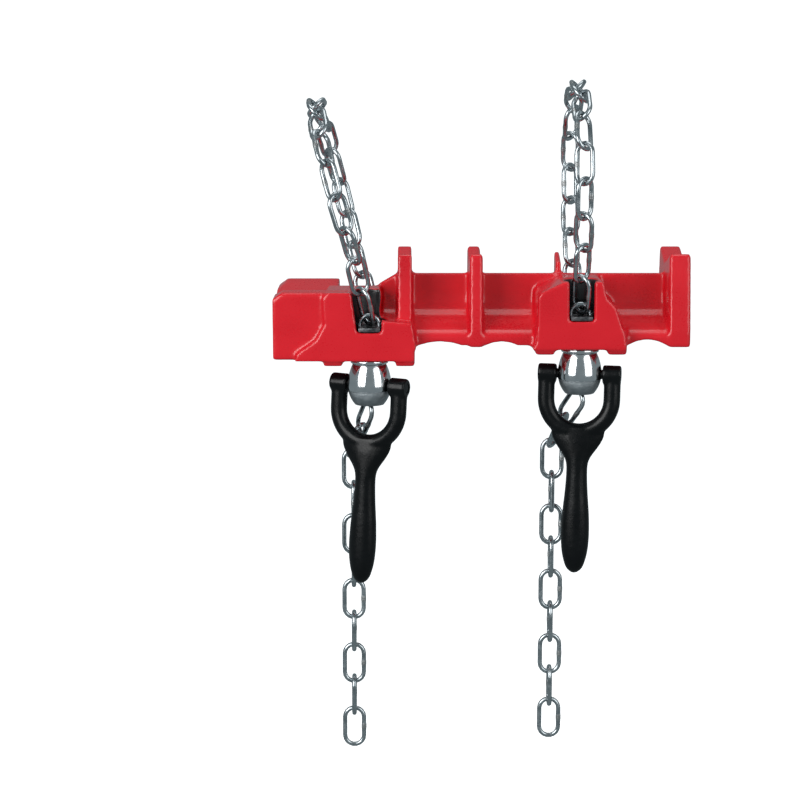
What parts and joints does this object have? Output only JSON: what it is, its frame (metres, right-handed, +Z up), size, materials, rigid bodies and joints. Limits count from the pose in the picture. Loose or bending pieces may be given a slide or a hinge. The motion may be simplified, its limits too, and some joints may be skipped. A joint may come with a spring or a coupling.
{
  "type": "chain pipe vise for welding",
  "caption": "Red cast V-saddle beam hung under a pipe by chain clamps; each has a hollow screw, a ball nut and a black yoke handle.",
  "frame": {"origin": "bottom of the saddle V at the middle of the straight part, the line on which the pipe bears", "axes": "+X along the pipe, +Z up out of the V, the operator stands at -Y"},
  "size_m": [0.441, 0.2124, 0.7326],
  "materials": {
    "red_enamel": "gloss enamel on a casting",
    "black_enamel": "semi-gloss enamel",
    "zinc_plate": "bright zinc",
    "bright_plate": "bright plate",
    "dark_steel": "oiled dark steel"
  },
  "bodies": {
    "base": {"base_casting": "red_enamel", "thrust_washer_left": "bright_plate", "anchor_pin_left": "dark_steel", "anchor_cotter_left": "dark_steel", "chain_wrap_left": "zinc_plate", "thrust_washer_right": "bright_plate", "anchor_pin_right": "dark_steel", "anchor_cotter_right": "dark_steel", "chain_wrap_right": "zinc_plate"},
    "screw_left": {"chain_screw_left": "dark_steel", "front_link_left_1": "zinc_plate", "front_link_left_2": "zinc_plate", "front_link_left_3": "zinc_plate", "front_link_left_4": "zinc_plate", "inner_link_left_1": "zinc_plate", "inner_link_left_2": "zinc_plate"},
    "nut_left": {"ball_nut_left": "bright_plate", "trunnion_pin_left_near": "black_enamel", "trunnion_pin_left_far": "black_enamel", "exit_link_left_1": "zinc_plate", "exit_link_left_2": "zinc_plate"},
    "handle_left": {"yoke_handle_left": "black_enamel"},
    "tail_left_1": {"tail_link_left_1": "zinc_plate", "tail_link_left_2": "zinc_plate", "tail_link_left_3": "zinc_plate"},
    "tail_left_2": {"tail_link_left_4": "zinc_plate", "tail_link_left_5": "zinc_plate", "tail_link_left_6": "zinc_plate"},
    "tail_left_3": {"tail_link_left_7": "zinc_plate", "tail_link_left_8": "zinc_plate", "tail_link_left_9": "zinc_plate"},
    "screw_right": {"chain_screw_right": "dark_steel", "front_link_right_1": "zinc_plate", "front_link_right_2": "zinc_plate", "front_link_right_3": "zinc_plate", "front_link_right_4": "zinc_plate", "inner_link_right_1": "zinc_plate", "inner_link_right_2": "zinc_plate"},
    "nut_right": {"ball_nut_right": "bright_plate", "trunnion_pin_right_near": "black_enamel", "trunnion_pin_right_far": "black_enamel", "exit_link_right_1": "zinc_plate", "exit_link_right_2": "zinc_plate"},
    "handle_right": {"yoke_handle_right": "black_enamel"},
    "tail_right_1": {"tail_link_right_1": "zinc_plate", "tail_link_right_2": "zinc_plate", "tail_link_right_3": "zinc_plate"},
    "tail_right_2": {"tail_link_right_4": "zinc_plate", "tail_link_right_5": "zinc_plate", "tail_link_right_6": "zinc_plate"},
    "tail_right_3": {"tail_link_right_7": "zinc_plate", "tail_link_right_8": "zinc_plate", "tail_link_right_9": "zinc_plate"}
  },
  "joints": [
    {"name": "nut_left_turn", "type": "hinge", "parent": "base", "child": "nut_left", "pos_m": [-0.122, -0.052, -0.1256], "axis": [0, 0, -1], "range_deg": [0, 1260]},
    {"name": "screw_left_slide", "type": "slide", "parent": "base", "child": "screw_left", "axis": [0, 0, 1], "range_m": [0, 0.014]},
    {"name": "handle_left_swing", "type": "hinge", "parent": "nut_left", "child": "handle_left", "pos_m": [-0.122, -0.052, -0.1256], "axis": [-0.9062, 0.4226, 0.0175], "range_deg": [0, 80]},
    {"name": "tail_left_swing_1", "type": "hinge", "parent": "nut_left", "child": "tail_left_1", "pos_m": [-0.1406, -0.01376, -0.20949], "axis": [0, 1, 0], "range_deg": [-25, 25]},
    {"name": "tail_left_swing_2", "type": "hinge", "parent": "tail_left_1", "child": "tail_left_2", "pos_m": [-0.14, -0.015, -0.31774], "axis": [1, 0, 0], "range_deg": [-25, 25]},
    {"name": "tail_left_swing_3", "type": "hinge", "parent": "tail_left_2", "child": "tail_left_3", "pos_m": [-0.14, -0.015, -0.42724], "axis": [0, 1, 0], "range_deg": [-25, 25]},
    {"name": "nut_right_turn", "type": "hinge", "parent": "base", "child": "nut_right", "pos_m": [0.101, -0.052, -0.1136], "axis": [0, 0, -1], "range_deg": [0, 1260]},
    {"name": "screw_right_slide", "type": "slide", "parent": "base", "child": "screw_right", "axis": [0, 0, 1], "range_m": [0, 0.014]},
    {"name": "handle_right_swing", "type": "hinge", "parent": "nut_right", "child": "handle_right", "pos_m": [0.101, -0.052, -0.1136], "axis": [-0.9848, 0.1736, 0.0087], "range_deg": [0, 80]},
    {"name": "tail_right_swing_1", "type": "hinge", "parent": "nut_right", "child": "tail_right_1", "pos_m": [0.07413, -0.01893, -0.19742], "axis": [0, 1, 0], "range_deg": [-25, 25]},
    {"name": "tail_right_swing_2", "type": "hinge", "parent": "tail_right_1", "child": "tail_right_2", "pos_m": [0.075, -0.02, -0.30568], "axis": [1, 0, 0], "range_deg": [-25, 25]},
    {"name": "tail_right_swing_3", "type": "hinge", "parent": "tail_right_2", "child": "tail_right_3", "pos_m": [0.075, -0.02, -0.41518], "axis": [0, 1, 0], "range_deg": [-25, 25]}
  ],
  "couplings": [
    {"joint": "screw_left_slide", "follows": "nut_left_turn", "m_per_rad": 0.00063662},
    {"joint": "screw_right_slide", "follows": "nut_right_turn", "m_per_rad": 0.00063662}
  ]
}
